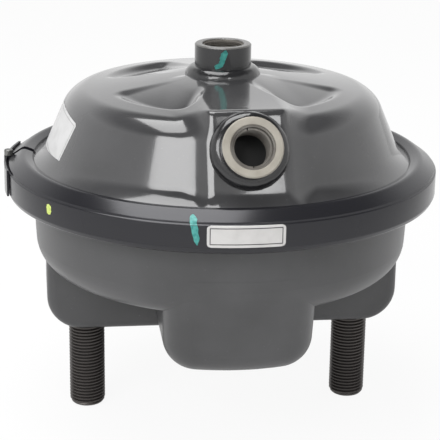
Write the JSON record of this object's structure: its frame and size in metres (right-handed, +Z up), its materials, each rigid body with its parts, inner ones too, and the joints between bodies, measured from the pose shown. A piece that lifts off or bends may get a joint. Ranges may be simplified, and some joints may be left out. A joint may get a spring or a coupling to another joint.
{
  "type": "air brake chamber",
  "caption": "Clamped diaphragm air brake chamber with mounting studs, angled air ports and a spring returned pushrod under a rubber boot",
  "frame": {"origin": "centre of the mounting face, on the pushrod's axis and midway between the two mounting studs", "axes": "+Z up the pushrod's axis into the chamber, +X along the line of the two mounting studs, and the side air port leans towards -Y"},
  "size_m": [0.1898, 0.1886, 0.1661],
  "materials": {
    "housing_paint_upper": "gloss",
    "housing_paint_lower": "satin",
    "ring_paint": "gloss",
    "phosphated_steel": "satin",
    "port_steel": "machined",
    "zinc_steel": "satin",
    "spring_steel": "satin",
    "rod_steel": "satin",
    "diaphragm_rubber": "matte",
    "boot_rubber": "satin",
    "plug_plastic": "matte"
  },
  "bodies": {
    "chamber": {"lower_housing": "housing_paint_lower", "stud_plate": "phosphated_steel", "mounting_stud_left": "phosphated_steel", "mounting_stud_right": "phosphated_steel", "pressure_housing": "housing_paint_upper", "top_port_boss": "port_steel", "side_port_boss": "port_steel", "clamp_ring": "ring_paint", "ring_hasp_front": "ring_paint", "ring_hasp_rear": "ring_paint", "ring_lock_pin": "zinc_steel", "diaphragm": "diaphragm_rubber", "boot": "boot_rubber", "spring_seat": "zinc_steel", "return_spring": "spring_steel", "flange_seal": "boot_rubber", "drain_plugs": "plug_plastic"},
    "piston": {"pressure_plate": "zinc_steel", "rod_socket": "zinc_steel"},
    "rod": {"pushrod": "rod_steel", "rod_tip": "rod_steel", "boot_clip": "zinc_steel"}
  },
  "joints": [
    {"name": "pushrod_stroke", "type": "slide", "parent": "chamber", "child": "piston", "axis": [0, 0, -1], "range_m": [0, 0.057], "stiffness_N_per_m": 1500, "springref_m": -0.05, "deforming": ["diaphragm", "return_spring", "boot"]},
    {"name": "pushrod_tilt", "type": "hinge", "parent": "piston", "child": "rod", "pos_m": [0, 0, 0.08365], "axis": [1, 0, 0], "range_deg": [-3, 3], "stiffness_Nm_per_rad": 2, "deforming": ["boot"]}
  ]
}
